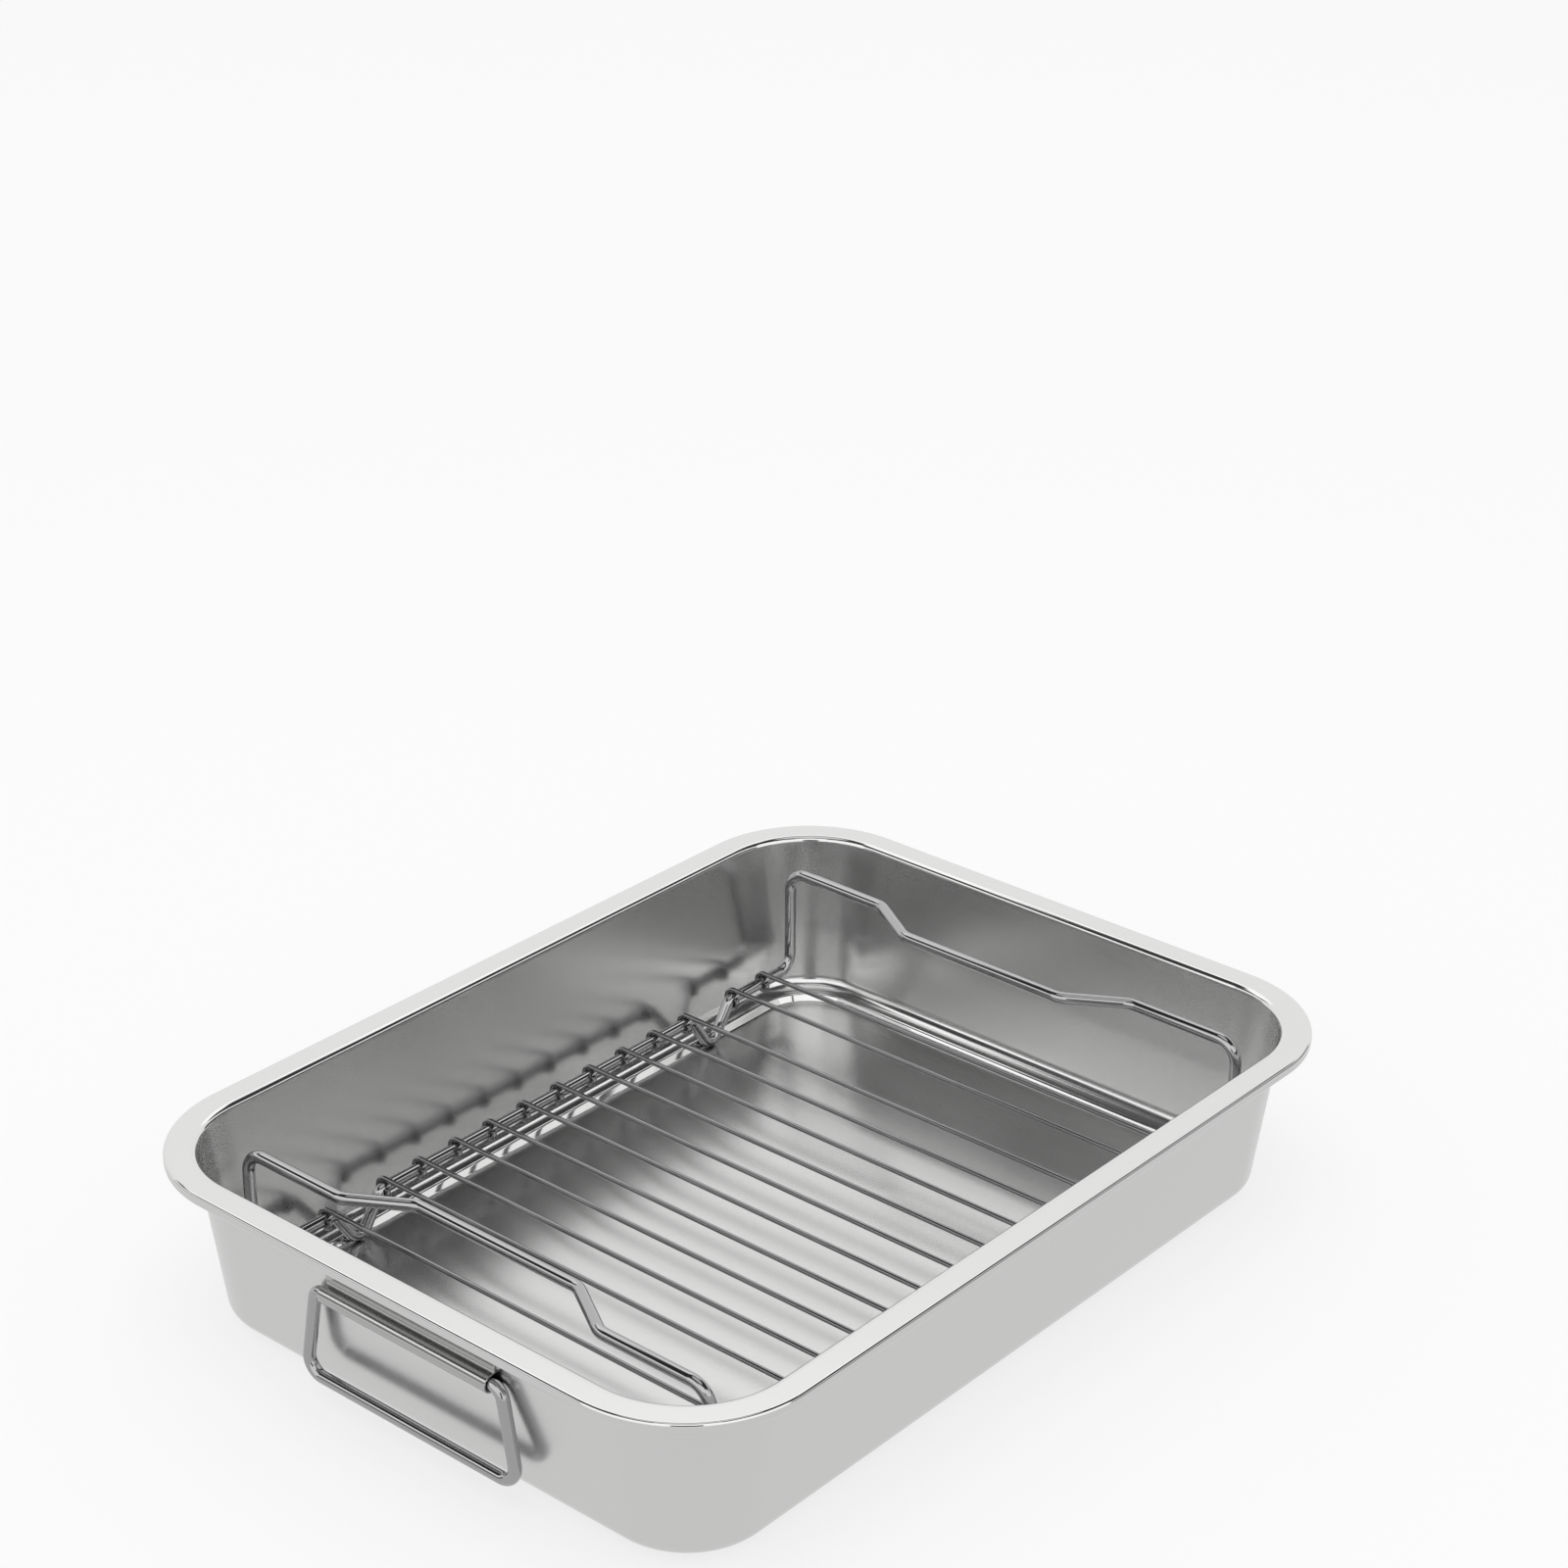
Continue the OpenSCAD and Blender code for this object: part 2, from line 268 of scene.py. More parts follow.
# How far below the rail a foot's straights meet, so that its rounded tip comes down by the foot's drop
TIP_SLACK = FOOT_DROP - FOOT_TIP_BEND
TIP_SHARE = 1 - (FOOT_TIP_BEND / FOOT_HALF) ** 2
TIP_ROOT = TIP_SLACK**2 - TIP_SHARE * (TIP_SLACK**2 - FOOT_TIP_BEND**2)
FOOT_POINT = (TIP_SLACK + math.sqrt(TIP_ROOT)) / TIP_SHARE

# A rod's curl round its rail
CURL_RADIUS = RACK_WIRE / 2 + CURL_PLAY + ROD_WIRE / 2


# Materials


def shader(name):
    """A new material, its nodes and links, and its shader."""
    material = bpy.data.materials.new(name)
    material.use_nodes = True
    nodes = material.node_tree.nodes
    links = material.node_tree.links
    return material, nodes, links, nodes["Principled BSDF"]


def grain(nodes, links, stretch, scale, detail=GRAIN_DETAIL):
    """Noise on the object's own coordinates, drawn out by stretch."""
    place = nodes.new("ShaderNodeTexCoord")
    mapping = nodes.new("ShaderNodeMapping")
    mapping.inputs["Scale"].default_value = stretch
    noise = nodes.new("ShaderNodeTexNoise")
    noise.inputs["Scale"].default_value = scale
    noise.inputs["Detail"].default_value = detail
    links.new(place.outputs["Object"], mapping.inputs["Vector"])
    links.new(mapping.outputs["Vector"], noise.inputs["Vector"])
    return noise


def spread(nodes, links, noise, low, high, socket):
    """The noise, spread from low to high, drives a socket."""
    span = nodes.new("ShaderNodeMapRange")
    span.inputs["From Min"].default_value = NOISE_LOW
    span.inputs["From Max"].default_value = NOISE_HIGH
    span.inputs["To Min"].default_value = low
    span.inputs["To Max"].default_value = high
    links.new(noise.outputs["Fac"], span.inputs["Value"])
    links.new(span.outputs["Result"], socket)


def bumps(nodes, links, noise, strength, depth, socket):
    """The noise raises and lowers the surface by a depth in metres."""
    bump = nodes.new("ShaderNodeBump")
    bump.inputs["Strength"].default_value = strength
    bump.inputs["Distance"].default_value = depth
    links.new(noise.outputs["Fac"], bump.inputs["Height"])
    links.new(bump.outputs["Normal"], socket)


def satin_steel():
    """Drawn stainless sheet: satin on its flats, and rubbed bright where the tool bent it."""
    material, nodes, links, steel = shader("satin_steel")
    steel.inputs["Base Color"].default_value = PAN_COLOUR
    steel.inputs["Metallic"].default_value = 1
    clouds = grain(nodes, links, EVEN, CLOUD_SCALE)
    gloss = nodes.new("ShaderNodeMath")
    gloss.operation = "MULTIPLY"
    low = FLAT_ROUGHNESS - CLOUD_ROUGHNESS
    high = FLAT_ROUGHNESS + CLOUD_ROUGHNESS
    spread(nodes, links, clouds, low, high, gloss.inputs[0])
    bend = nodes.new("ShaderNodeAttribute")
    bend.attribute_name = BEND_POLISH
    rubbed = nodes.new("ShaderNodeMapRange")
    rubbed.inputs["To Min"].default_value = 1
    rubbed.inputs["To Max"].default_value = BEND_ROUGHNESS / FLAT_ROUGHNESS
    links.new(bend.outputs["Fac"], rubbed.inputs["Value"])
    links.new(rubbed.outputs["Result"], gloss.inputs[1])
    links.new(gloss.outputs["Value"], steel.inputs["Roughness"])
    fine = grain(nodes, links, EVEN, SHEET_GRAIN_SCALE, SHEET_GRAIN_DETAIL)
    bumps(nodes, links, fine, SHEET_GRAIN_STRENGTH, SHEET_GRAIN_DEPTH, steel.inputs["Normal"])
    return material


def folded_steel():
    """Bright rolled strip of the brackets."""
    material, nodes, links, steel = shader("folded_steel")
    steel.inputs["Base Color"].default_value = STRIP_COLOUR
    steel.inputs["Metallic"].default_value = 1
    streaks = grain(nodes, links, STREAK_STRETCH, STREAK_SCALE)
    spread(nodes, links, streaks, *STRIP_ROUGHNESS, steel.inputs["Roughness"])
    return material


def bright_steel(name, tone):
    """Polished wire of one grey tone."""
    material, nodes, links, steel = shader(name)
    steel.inputs["Base Color"].default_value = (tone, tone, tone * WIRE_BLUE_SHARE, 1)
    steel.inputs["Metallic"].default_value = 1
    draw_marks = grain(nodes, links, EVEN, DRAW_MARK_SCALE)
    spread(nodes, links, draw_marks, *WIRE_ROUGHNESS, steel.inputs["Roughness"])
    return material


PAN_STEEL = satin_steel()
BRACKET_STEEL = folded_steel()
WIRE_STEEL = bright_steel("bright_wire_steel", WIRE_TONE)
ROD_STEEL = bright_steel("dark_rod_steel", ROD_TONE)


# Meshes


def new_piece(name, points, faces, material):
    """A mesh object from points in millimetres."""
    mesh = bpy.data.meshes.new(name)
    mesh.from_pydata([Vector(p) * MM for p in points], [], faces)
    mesh.materials.append(material)
    return shown(name, mesh)


def shown(name, mesh):
    """Puts a mesh into the scene, smooth except at its sharp edges."""
    mesh.validate()
    mesh.polygons.foreach_set("use_smooth", [True] * len(mesh.polygons))
    mesh.set_sharp_from_angle(angle=math.radians(SHARP_ANGLE))
    piece = bpy.data.objects.new(name, mesh)
    bpy.context.scene.collection.objects.link(piece)
    return piece


def arc(centre, radius, start, end, step):
    """Points round a centre from one angle to another, both ends included."""
    count = max(2, math.ceil(abs(end - start) / step))
    angles = [start + (end - start) * i / count for i in range(count + 1)]
    return [centre + radius * flat_vector(cos(a), sin(a)) for a in angles]


def rim_stations():
    """Places round the rim: the centre that a corner turns about, and the outward direction there."""
    corner_x = PAN_LENGTH / 2 - RIM_CORNER
    corner_y = PAN_WIDTH / 2 - RIM_CORNER
    quarters = [(1, 1, 0), (-1, 1, 90), (-1, -1, 180), (1, -1, 270)]
    steps = round(90 / CORNER_STEP)
    stations = []
    for index, (side_x, side_y, start) in enumerate(quarters):
        centre = Vector((side_x * corner_x, side_y * corner_y))
        for i in range(steps + 1):
            angle = start + 90 * i / steps
            stations.append((centre, Vector((cos(angle), sin(angle)))))
        next_x, next_y, next_start = quarters[(index + 1) % 4]
        ahead = Vector((next_x * corner_x, next_y * corner_y))
        straight = ahead - centre
        outward = Vector((cos(next_start), sin(next_start)))
        margin = SIDE_SUPPORT / straight.length
        for share in (margin, 0.25, 0.5, 0.75, 1 - margin):
            stations.append((centre + straight * share, outward))
    return stations


def sheet_faces():
    """The sheet's seen face and its hidden face, each from the curl's cut edge to the floor."""
    curl_centre = flat_vector(CURL_BEND, PAN_HEIGHT - EDGE_DEPTH + CURL_BEND)
    edge_centre = flat_vector(EDGE_BEND, PAN_HEIGHT - EDGE_BEND)
    half_sheet = SHEET / 2
    upper_centre = flat_vector(STEP_START, LEDGE_TOP - half_sheet - STEP_BEND)
    lower_centre = flat_vector(FLOOR_EDGE, half_sheet + STEP_BEND)
    tight = STEP_BEND - half_sheet
    wide = STEP_BEND + half_sheet
    bends = [
        (curl_centre, CURL_BEND, CURL_BEND - SHEET, 360, 180, TIGHT_POLISH),
        (edge_centre, EDGE_BEND, EDGE_BEND - SHEET, 180, 90, TIGHT_POLISH),
        (RIM_BEND_CENTRE, RIM_BEND, RIM_BEND - SHEET, 90, WALL_SLOPE, RIM_POLISH),
        (COVE_CENTRE, COVE, COVE + SHEET, 180 + WALL_SLOPE, 270, COVE_POLISH),
        (upper_centre, wide, tight, 90, 90 - STEP_ANGLE, TIGHT_POLISH),
        (lower_centre, tight, wide, 270 - STEP_ANGLE, 270, TIGHT_POLISH),
    ]
    cut = curl_centre + flat_vector(0, CURL_RETURN)
    seen = [
        (cut + flat_vector(CURL_BEND - SHEET_NICK, 0), TIGHT_POLISH),
        (cut + flat_vector(CURL_BEND, -SHEET_NICK), TIGHT_POLISH),
    ]
    hidden = [
        (cut + flat_vector(CURL_BEND - SHEET + SHEET_NICK, 0), TIGHT_POLISH),
        (cut + flat_vector(CURL_BEND - SHEET, -SHEET_NICK), TIGHT_POLISH),
    ]
    for centre, seen_radius, hidden_radius, start, end, polish in bends:
        seen += [(place, polish) for place in arc(centre, seen_radius, start, end, SHEET_STEP)]
        hidden += [(place, polish) for place in arc(centre, hidden_radius, start, end, SHEET_STEP)]
    floor_x = FLOOR_EDGE + SUPPORT
    seen = with_supports(seen) + [(flat_vector(floor_x, SHEET), FLAT_POLISH)]
    hidden = with_supports(hidden) + [(flat_vector(floor_x, 0), FLAT_POLISH)]
    return seen, hidden


def with_supports(line):
    """The line with a point just inside both ends of every flat, so that its shading stays flat.

    A long flat is satin, and a shorter one is as polished as the duller of its two bends.
    """
    out = [line[0]]
    for before, after in zip(line, line[1:]):
        run = after[0] - before[0]
        if run.length > SUPPORTED_FLAT:
            polish = FLAT_POLISH if run.length > SATIN_FLAT else min(before[1], after[1])
            inset = run.normalized() * SUPPORT
            out.append((before[0] + inset, polish))
            out.append((after[0] - inset, polish))
        out.append(after)
    return out


def make_pan():
    """The sheet's two faces, swept round the rim and closed by the floor's upper and lower side."""
    stations = rim_stations()
    seen, hidden = sheet_faces()
    loop = seen[::-1] + hidden
    turns = len(stations)
    points = []
    polish = []
    for place, share in loop:
        for centre, outward in stations:
            spot = centre + outward * (RIM_CORNER - place.x)
            points.append((spot.x, spot.y, place.y))
            polish.append(share)
    faces = []
    for row in range(len(loop) - 1):
        here = row * turns
        above = here + turns
        for i in range(turns):
            j = (i + 1) % turns
            faces.append((here + i, above + i, above + j, here + j))
    last = (len(loop) - 1) * turns
    faces.append(tuple(range(turns)))
    faces.append(tuple(last + i for i in range(turns - 1, -1, -1)))
    pan = new_piece("drawn_pan", points, faces, PAN_STEEL)
    rubbed = pan.data.attributes.new(BEND_POLISH, "FLOAT", "POINT")
    rubbed.data.foreach_set("value", polish)
    return pan


def bracket_section():
    """Closed outline of a bracket's strip, as (out from the wall, up along it from the hinge line)."""
    inner = HINGE_REACH
    outer = inner + BRACKET_SHEET
    centre = flat_vector(inner, 0)
    fold_x = BRACKET_SHEET + FOLD_BEND
    fold_y = outer + FOLD_BEND
    inner_fold_y = inner + INNER_FOLD_BEND
    top = outer + TAB_HEIGHT
    low = -outer - LIP_HEIGHT
    line = [flat_vector(0, low), flat_vector(BRACKET_SHEET, low)]
    line += arc(flat_vector(fold_x, -fold_y), FOLD_BEND, 180, 90, FOLD_STEP)
    line += arc(centre, outer, -90, 90, SHEET_STEP)
    line += arc(flat_vector(fold_x, fold_y), FOLD_BEND, 270, 180, FOLD_STEP)
    line += [flat_vector(BRACKET_SHEET, top), flat_vector(0, top)]
    line += arc(flat_vector(INNER_FOLD_BEND, inner_fold_y), INNER_FOLD_BEND, 180, 270, FOLD_STEP)
    line += arc(centre, inner, 90, -90, SHEET_STEP)
    line += arc(flat_vector(INNER_FOLD_BEND, -inner_fold_y), INNER_FOLD_BEND, 90, 180, FOLD_STEP)
    return line


def make_bracket(side):
    """The strip folded over a bail's top bar, with its cut edges eased."""
    section = bracket_section()
    count = len(section)
    foot = Vector((PAN_LENGTH / 2 - HINGE_FOOT_INSET, 0, HINGE_FOOT_HEIGHT))
    off_wall = Vector((cos(WALL_SLOPE), 0, -sin(WALL_SLOPE)))
    up_wall = Vector((sin(WALL_SLOPE), 0, cos(WALL_SLOPE)))
    points = []
    for y in (-BRACKET_LENGTH / 2, BRACKET_LENGTH / 2):
        for place in section:
            spot = foot + off_wall * place.x + up_wall * place.y
            points.append((side * spot.x, y, spot.z))
    ring = [(i, (i + 1) % count) for i in range(count)]
    faces = [(i, j, count + j, count + i) for i, j in ring]
    faces.append(tuple(range(count - 1, -1, -1)))
    faces.append(tuple(range(count, 2 * count)))
    if side > 0:
        faces = [face[::-1] for face in faces]
    name = "bracket_strip_right" if side > 0 else "bracket_strip_left"
    bracket = new_piece(name, points, faces, BRACKET_STEEL)
    ease = bracket.modifiers.new("eased_edges", "BEVEL")
    ease.width = BRACKET_EASE * MM
    ease.segments = 2
    ease.limit_method = "ANGLE"
    ease.angle_limit = math.radians(EASED_ANGLE)
    return bracket


# Wires


def closed_path(corners):
    """Points of a closed wire through corners (x, y, z, bend), with its bends as arcs."""
    place = [Vector(c[:3]) for c in corners]
    count = len(corners)
    path = []
    for i, corner in enumerate(corners):
        bend = corner[3]
        behind = (place[i] - place[i - 1]).normalized()
        ahead = (place[(i + 1) % count] - place[i]).normalized()
        angle = math.degrees(behind.angle(ahead))
        trim = bend * tan(angle / 2)
        inward = (ahead - behind * cos(angle)) / sin(angle)
        start = place[i] - behind * trim
        centre = start + inward * bend
        path.append(start - behind * SUPPORT)
        steps = max(2, math.ceil(angle / WIRE_STEP))
        for step in range(steps + 1):
            turned = angle * step / steps
            path.append(centre + bend * (behind * sin(turned) - inward * cos(turned)))
        path.append(place[i] + ahead * (trim + SUPPORT))
    return path


def path_object(name, path, closed, thickness=None):
    """A bare path that a wire is swept along. Its thickness thins the wire at its cut ends."""
    count = len(path)
    edges = [(i, i + 1) for i in range(count - 1)]
    if closed:
        edges.append((count - 1, 0))
    mesh = bpy.data.meshes.new(name)
    mesh.from_pydata([p * MM for p in path], edges, [])
    share = mesh.attributes.new("thickness", "FLOAT", "POINT")
    share.data.foreach_set("value", thickness or [1.0] * count)
    holder = bpy.data.objects.new(name, mesh)
    bpy.context.scene.collection.objects.link(holder)
    return holder


def start_tree(name, inputs):
    """A Geometry Nodes tree with a path, named inputs and one output."""
    tree = bpy.data.node_groups.new(name, "GeometryNodeTree")
    tree.interface.new_socket("Path", in_out="INPUT", socket_type="NodeSocketGeometry")
    for label, kind in inputs:
        tree.interface.new_socket(label, in_out="INPUT", socket_type=kind)
    tree.interface.new_socket("Wire", in_out="OUTPUT", socket_type="NodeSocketGeometry")
    return tree, tree.nodes.new("NodeGroupInput"), tree.nodes.new("NodeGroupOutput")


def sweep(tree, given):
    """Sweeps a round section along the path and returns the output socket."""
    nodes, links = tree.nodes, tree.links
    to_curve = nodes.new("GeometryNodeMeshToCurve")
    share = nodes.new("GeometryNodeInputNamedAttribute")
    share.data_type = "FLOAT"
    share.inputs["Name"].default_value = "thickness"
    section = nodes.new("GeometryNodeCurvePrimitiveCircle")
    half = nodes.new("ShaderNodeMath")
    half.operation = "MULTIPLY"
    half.inputs[1].default_value = 0.5
    to_mesh = nodes.new("GeometryNodeCurveToMesh")
    to_mesh.inputs["Fill Caps"].default_value = True
    links.new(given.outputs["Path"], to_curve.inputs["Mesh"])
    links.new(given.outputs["Wire diameter"], half.inputs[0])
    links.new(half.outputs["Value"], section.inputs["Radius"])
    links.new(given.outputs["Sides"], section.inputs["Resolution"])
    links.new(to_curve.outputs["Curve"], to_mesh.inputs["Curve"])
    links.new(section.outputs["Curve"], to_mesh.inputs["Profile Curve"])
    links.new(share.outputs["Attribute"], to_mesh.inputs["Scale"])
    return to_mesh.outputs["Mesh"]


def end_tree(tree, given, result, geometry):
    """Every tree ends in real geometry with its material."""
    nodes, links = tree.nodes, tree.links
    real = nodes.new("GeometryNodeRealizeInstances")
    paint = nodes.new("GeometryNodeSetMaterial")
    links.new(geometry, real.inputs["Geometry"])
    links.new(real.outputs["Geometry"], paint.inputs["Geometry"])
    links.new(given.outputs["Steel"], paint.inputs["Material"])
    links.new(paint.outputs["Geometry"], result.inputs["Wire"])


SWEEP_INPUTS = [
    ("Wire diameter", "NodeSocketFloat"),
    ("Sides", "NodeSocketInt"),
    ("Steel", "NodeSocketMaterial"),
]


def bent_wire_tree():
    """One wire, swept along its path."""
    tree, given, result = start_tree("bent_wire", SWEEP_INPUTS)
    end_tree(tree, given, result, sweep(tree, given))
    return tree


def rod_rows_tree():
    """One rod set out along the rack: the middle rods evenly, and a pair at each end."""
    lengths = ["Middle half span", "Last rod", "End bay", "Hand spread"]
    inputs = SWEEP_INPUTS + [("Middle rods", "NodeSocketInt"), ("Seed", "NodeSocketInt")]
    inputs += [(label, "NodeSocketFloat") for label in lengths]
    tree, given, result = start_tree("rod_rows", inputs)
    nodes, links = tree.nodes, tree.links

    def maths(operation, a, b):
        node = nodes.new("ShaderNodeMath")
        node.operation = operation
        for socket, value in zip(node.inputs, (a, b)):
            if isinstance(value, (int, float)):
                socket.default_value = value
            else:
                links.new(value, socket)
        return node.outputs["Value"]

    def at_x(value):
        node = nodes.new("ShaderNodeCombineXYZ")
        links.new(value, node.inputs["X"])
        return node.outputs["Vector"]

    def row(count, first, last):
        node = nodes.new("GeometryNodeMeshLine")
        node.mode = "END_POINTS"
        if isinstance(count, int):
            node.inputs["Count"].default_value = count
        else:
            links.new(count, node.inputs["Count"])
        links.new(at_x(first), node.inputs["Start Location"])
        links.new(at_x(last), node.inputs["Offset"])
        return node.outputs["Mesh"]

    span = given.outputs["Middle half span"]
    last = given.outputs["Last rod"]
    next_to_last = maths("SUBTRACT", last, given.outputs["End bay"])
    rows = nodes.new("GeometryNodeJoinGeometry")
    minus = [maths("MULTIPLY", value, -1.0) for value in (span, last, next_to_last)]
    for line in (
        row(END_RODS, minus[1], minus[2]),
        row(given.outputs["Middle rods"], minus[0], span),
        row(END_RODS, next_to_last, last),
    ):
        links.new(line, rows.inputs["Geometry"])
    drift = nodes.new("FunctionNodeRandomValue")
    drift.data_type = "FLOAT"
    drift_inputs = {socket.name: socket for socket in drift.inputs if socket.enabled}
    links.new(maths("MULTIPLY", given.outputs["Hand spread"], -1.0), drift_inputs["Min"])
    links.new(given.outputs["Hand spread"], drift_inputs["Max"])
    links.new(given.outputs["Seed"], drift_inputs["Seed"])
    drift_value = [socket for socket in drift.outputs if socket.enabled][0]
    nudge = nodes.new("GeometryNodeSetPosition")
    links.new(rows.outputs["Geometry"], nudge.inputs["Geometry"])
    links.new(at_x(drift_value), nudge.inputs["Offset"])
    set_out = nodes.new("GeometryNodeInstanceOnPoints")
    links.new(nudge.outputs["Geometry"], set_out.inputs["Points"])
    links.new(sweep(tree, given), set_out.inputs["Instance"])
    end_tree(tree, given, result, set_out.outputs["Instances"])
    return tree


def grown(holder, tree, values):
    """Runs a tree on a path, and puts a plain mesh object with its one steel in the path's place."""
    name = holder.name
    modifier = holder.modifiers.new(tree.name, "NODES")
    modifier.node_group = tree
    for item in tree.interface.items_tree:
        if item.item_type == "SOCKET" and item.in_out == "INPUT" and item.name in values:
            modifier[item.identifier] = values[item.name]
    depsgraph = bpy.context.evaluated_depsgraph_get()
    mesh = bpy.data.meshes.new_from_object(holder.evaluated_get(depsgraph), depsgraph=depsgraph)
    holder.modifiers.remove(modifier)
    bpy.data.objects.remove(holder)
    mesh.name = name
    mesh.materials.clear()
    mesh.materials.append(values["Steel"])
    mesh.polygons.foreach_set("material_index", [0] * len(mesh.polygons))
    return shown(name, mesh)


def wire_values(diameter):
    """What the bent wire tree is given."""
    return {"Wire diameter": diameter * MM, "Sides": WIRE_SIDES, "Steel": WIRE_STEEL}


def make_bail(tree, side):
    """A closed wire bail, hanging straight down from its top bar."""
    x = side * HINGE_X
    low = HINGE_Z - BAIL_DROP
    corners = [
        (x, -BAIL_TOP / 2, HINGE_Z, BAIL_TOP_BEND),
        (x, BAIL_TOP / 2, HINGE_Z, BAIL_TOP_BEND),
        (x, BAIL_BOTTOM / 2, low, BAIL_BOTTOM_BEND),
        (x, -BAIL_BOTTOM / 2, low, BAIL_BOTTOM_BEND),
    ]
    name = "bail_wire_right" if side > 0 else "bail_wire_left"
    path = path_object(name, closed_path(corners), closed=True)
    return grown(path, tree, wire_values(BAIL_WIRE))


def make_rack_frame(tree):
    """The rack's one closed wire: rails with dipped feet, and a stepped handle at each end."""
    quarter = [
        (FOOT_X - FOOT_HALF, RAIL_Y, RAIL_Z, FOOT_TOP_BEND),
        (FOOT_X, RAIL_Y, RAIL_Z - FOOT_POINT, FOOT_TIP_BEND),
        (FOOT_X + FOOT_HALF, RAIL_Y, RAIL_Z, FOOT_TOP_BEND),
        (HANDLE_X, RAIL_Y, RAIL_Z, POST_LOW_BEND),
        (HANDLE_X, RAIL_Y, HANDLE_Z, POST_HIGH_BEND),
        (HANDLE_X, GRIP_LENGTH / 2 + GRIP_RUN, HANDLE_Z, GRIP_BEND),
        (HANDLE_X - GRIP_INSET, GRIP_LENGTH / 2, HANDLE_Z, GRIP_BEND),
    ]

    def turned(side_x, side_y):
        return [(x * side_x, y * side_y, z, bend) for x, y, z, bend in quarter]

    corners = quarter + turned(1, -1)[::-1] + turned(-1, -1) + turned(-1, 1)[::-1]
    path = path_object("rack_frame_wire", closed_path(corners), closed=True)
    return grown(path, tree, wire_values(RACK_WIRE))


def rod_path():
    """A rod over both rails, with each end curled round a rail and drifting to the rod's left side."""
    steps = math.ceil(CURL_ANGLE / CURL_STEP)
    curl = []
    for i in range(1, steps + 1):
        turned = CURL_ANGLE * i / steps
        x = -CURL_SHIFT * (i / steps) ** CURL_DRIFT_POWER
        y = RAIL_Y + CURL_RADIUS * sin(turned)
        z = RAIL_Z + CURL_RADIUS * cos(turned)
        curl.append(Vector((x, y, z)))
    top = RAIL_Z + CURL_RADIUS
    ends = [Vector((0, RAIL_Y, top)), Vector((0, RAIL_Y - SUPPORT, top))]
    tip = (curl[-1] - curl[-2]).normalized() * CUT_CHAMFER
    half = ends[::-1] + curl + [curl[-1] + tip]
    other = [Vector((p.x, -p.y, p.z)) for p in half]
    path = other[::-1] + half
    thickness = [1.0] * len(path)
    thickness[0] = thickness[-1] = 1 - 2 * CUT_CHAMFER / ROD_WIRE
    return path, thickness


def make_rods():
    """All the rods of the rack, as one mesh."""
    path, thickness = rod_path()
    holder = path_object("rack_rods", path, closed=False, thickness=thickness)
    values = {
        "Wire diameter": ROD_WIRE * MM,
        "Sides": ROD_SIDES,
        "Steel": ROD_STEEL,
        "Middle rods": MIDDLE_RODS,
        "Middle half span": MIDDLE_HALF_SPAN * MM,
        "Last rod": LAST_ROD_X * MM,
        "End bay": END_BAY * MM,
        "Hand spread": HAND_SPREAD * MM,
        "Seed": HAND_SEED,
    }
    return grown(holder, rod_rows_tree(), values)


# The seven pieces


pan = make_pan()
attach(pan, "roasting_pan")
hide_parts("pan")

wire_tree = bent_wire_tree()
for end_name, end_side in (("left", -1), ("right", 1)):
    bracket = make_bracket(end_side)
    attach(bracket, "roasting_pan")
    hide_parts(f"bracket_{end_name}")
    bail = make_bail(wire_tree, end_side)
    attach(bail, f"{end_name}_bail")
    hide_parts(f"bail_{end_name}")

rack_frame = make_rack_frame(wire_tree)
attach(rack_frame, "rack")
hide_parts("rack_frame")

rods = make_rods()
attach(rods, "rack")
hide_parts(*[f"rack_rod_{i + 1}" for i in range(RODS)])


# Studio


def seen_directly(nodes, links):
    """1 for what the camera sees, directly or in metal or glass, and 0 for other light."""
    ray = nodes.new("ShaderNodeLightPath")
    seen = ray.outputs["Is Camera Ray"]
    for name in ("Is Glossy Ray", "Is Transmission Ray"):
        either = nodes.new("ShaderNodeMath")
        either.operation = "MAXIMUM"
        links.new(seen, either.inputs[0])
        links.new(ray.outputs[name], either.inputs[1])
        seen = either.outputs["Value"]
    return seen


def make_floor():
    """A wide pale table that keeps the pan's shadow."""
    mesh = bpy.data.meshes.new("table_top")
    reach = TABLE_REACH
    corners = [(-reach, -reach, 0), (reach, -reach, 0), (reach, reach, 0), (-reach, reach, 0)]
    mesh.from_pydata(corners, [], [(0, 1, 2, 3)])
    material, nodes, links, paper = shader("table_white")
    paper.inputs["Base Color"].default_value = TABLE_COLOUR
    paper.inputs["Roughness"].default_value = TABLE_ROUGHNESS
    paper.inputs["Specular IOR Level"].default_value = 0
    glow = nodes.new("ShaderNodeEmission")
    share = nodes.new("ShaderNodeMath")
    share.operation = "MULTIPLY"
    share.inputs[1].default_value = TABLE_GLOW
    mix = nodes.new("ShaderNodeMixShader")
    links.new(seen_directly(nodes, links), share.inputs[0])
    links.new(share.outputs["Value"], mix.inputs["Fac"])
    links.new(paper.outputs["BSDF"], mix.inputs[1])
    links.new(glow.outputs["Emission"], mix.inputs[2])
    links.new(mix.outputs["Shader"], nodes["Material Output"].inputs["Surface"])
    mesh.materials.append(material)
    table = bpy.data.objects.new("table_top", mesh)
    bpy.context.scene.collection.objects.link(table)


def make_card(name, azimuth, elevation, distance, width, height, level):
    """A card beside the set that faces its middle."""
    back = direction(azimuth, elevation)
    across = back.cross(Vector((0, 0, 1))).normalized()
    up = across.cross(back)
    centre = back * distance
    corners = []
    for a, b in ((-1, -1), (1, -1), (1, 1), (-1, 1)):
        corners.append(centre + across * width / 2 * a + up * height / 2 * b)
    show_in_metal(name, corners, level)


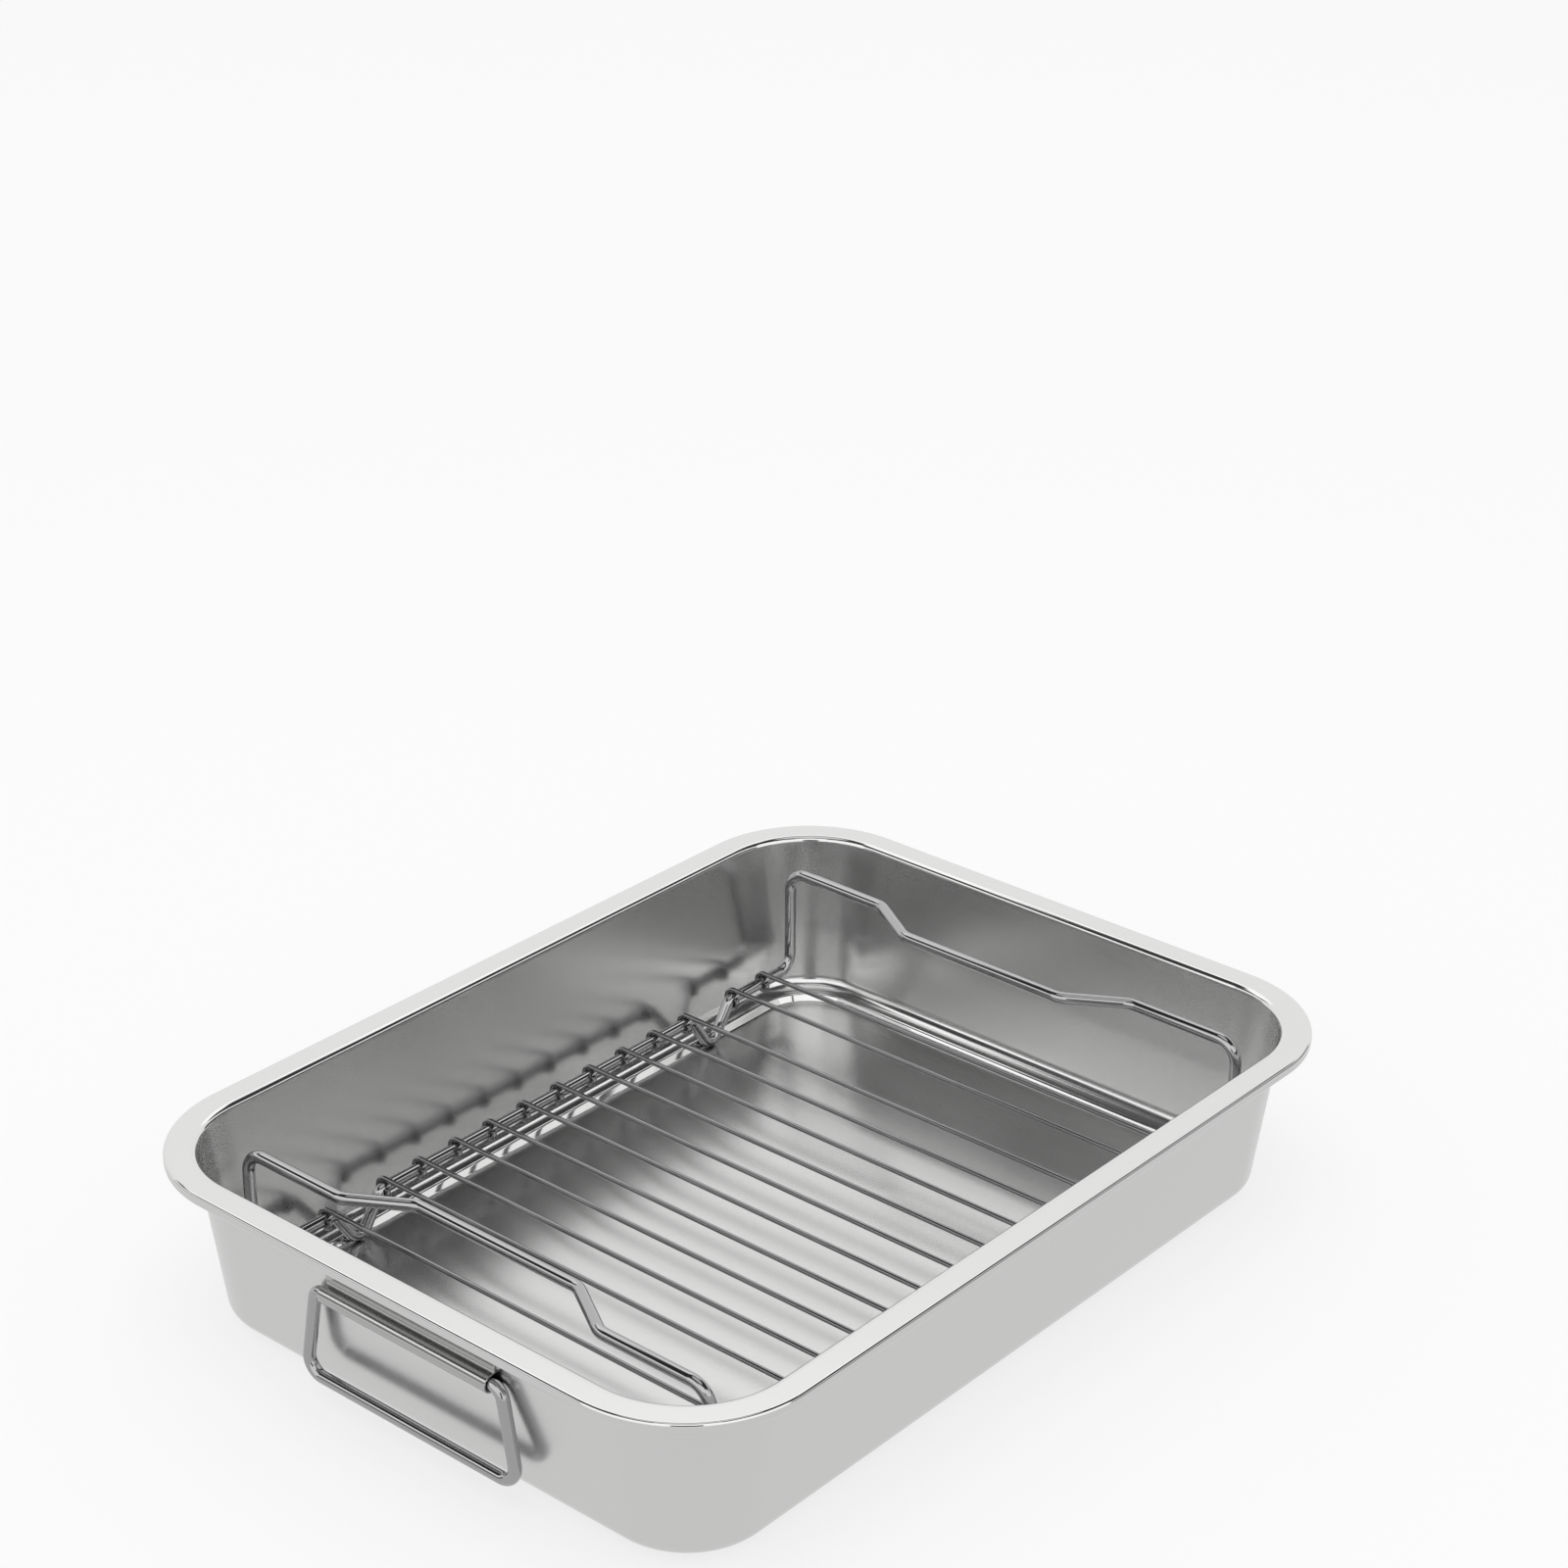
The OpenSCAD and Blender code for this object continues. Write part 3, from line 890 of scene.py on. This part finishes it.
def make_ring(name, height, inner, outer, start, end, level):
    """A level ring or disc, or a part of one, above the set, or just over the table as a painted shadow.
    """
    turns = [start + (end - start) * i / RING_SIDES for i in range(RING_SIDES + 1)]
    edge = [Vector((sin(turn), -cos(turn), 0)) for turn in turns]
    lift = Vector((0, 0, height))
    corners = [lift + outer * place for place in edge]
    if inner > 0:
        corners += [lift + inner * place for place in reversed(edge)]
    show_in_metal(name, corners, level)


def show_in_metal(name, corners, level):
    """One flat glowing face that neither the camera nor the matt surfaces see."""
    mesh = bpy.data.meshes.new(name)
    mesh.from_pydata(corners, [], [tuple(range(len(corners)))])
    material = bpy.data.materials.new(name)
    material.use_nodes = True
    nodes = material.node_tree.nodes
    nodes.clear()
    glow = nodes.new("ShaderNodeEmission")
    glow.inputs["Color"].default_value = (level, level, level, 1)
    out = nodes.new("ShaderNodeOutputMaterial")
    material.node_tree.links.new(glow.outputs["Emission"], out.inputs["Surface"])
    mesh.materials.append(material)
    card = bpy.data.objects.new(name, mesh)
    bpy.context.scene.collection.objects.link(card)
    card.visible_camera = False
    card.visible_diffuse = False
    card.visible_shadow = False


def make_world(level):
    """White to the camera and in the metal, and a plain level of light on everything else."""
    world = bpy.data.worlds.new("studio")
    world.use_nodes = True
    nodes = world.node_tree.nodes
    links = world.node_tree.links
    background = nodes["Background"]
    background.inputs["Color"].default_value = (1, 1, 1, 1)
    strength = nodes.new("ShaderNodeMapRange")
    strength.inputs["To Min"].default_value = level
    strength.inputs["To Max"].default_value = 1
    links.new(seen_directly(nodes, links), strength.inputs["Value"])
    links.new(strength.outputs["Result"], background.inputs["Strength"])
    bpy.context.scene.world = world


def make_lamp():
    """A soft lamp above the set."""
    data = bpy.data.lights.new("soft_lamp", "AREA")
    data.shape = "RECTANGLE"
    data.size, data.size_y = LAMP_SIZE
    data.energy = LAMP_POWER
    lamp = bpy.data.objects.new("soft_lamp", data)
    lamp.location = LAMP_PLACE
    towards = Vector(LAMP_AIM) - Vector(LAMP_PLACE)
    lamp.rotation_euler = towards.to_track_quat("-Z", "Y").to_euler()
    bpy.context.scene.collection.objects.link(lamp)


def make_camera():
    """The photograph's own view, turned a little about its line of sight."""
    aim = Vector(CAMERA_AIM) * MM
    back = direction(CAMERA_AZIMUTH, CAMERA_ELEVATION)
    right = Vector((cos(CAMERA_AZIMUTH), sin(CAMERA_AZIMUTH), 0))
    up = back.cross(right)
    rolled_right = right * cos(CAMERA_ROLL) + up * sin(CAMERA_ROLL)
    rolled_up = up * cos(CAMERA_ROLL) - right * sin(CAMERA_ROLL)
    data = bpy.data.cameras.new("camera")
    data.sensor_width = CAMERA_SENSOR
    data.lens = CAMERA_LENS
    data.clip_start = CAMERA_NEAR
    data.clip_end = CAMERA_FAR
    camera = bpy.data.objects.new("camera", data)
    turned = Matrix((rolled_right, rolled_up, back)).transposed().to_4x4()
    camera.matrix_world = Matrix.Translation(aim + back * (CAMERA_DISTANCE * MM)) @ turned
    bpy.context.scene.collection.objects.link(camera)
    bpy.context.scene.camera = camera


make_floor()
make_world(WORLD_LEVEL)
for ring in RINGS:
    make_ring(*ring)
for card in CARDS:
    make_card(*card)
make_lamp()
make_camera()

bpy.context.scene.view_settings.view_transform = "Standard"
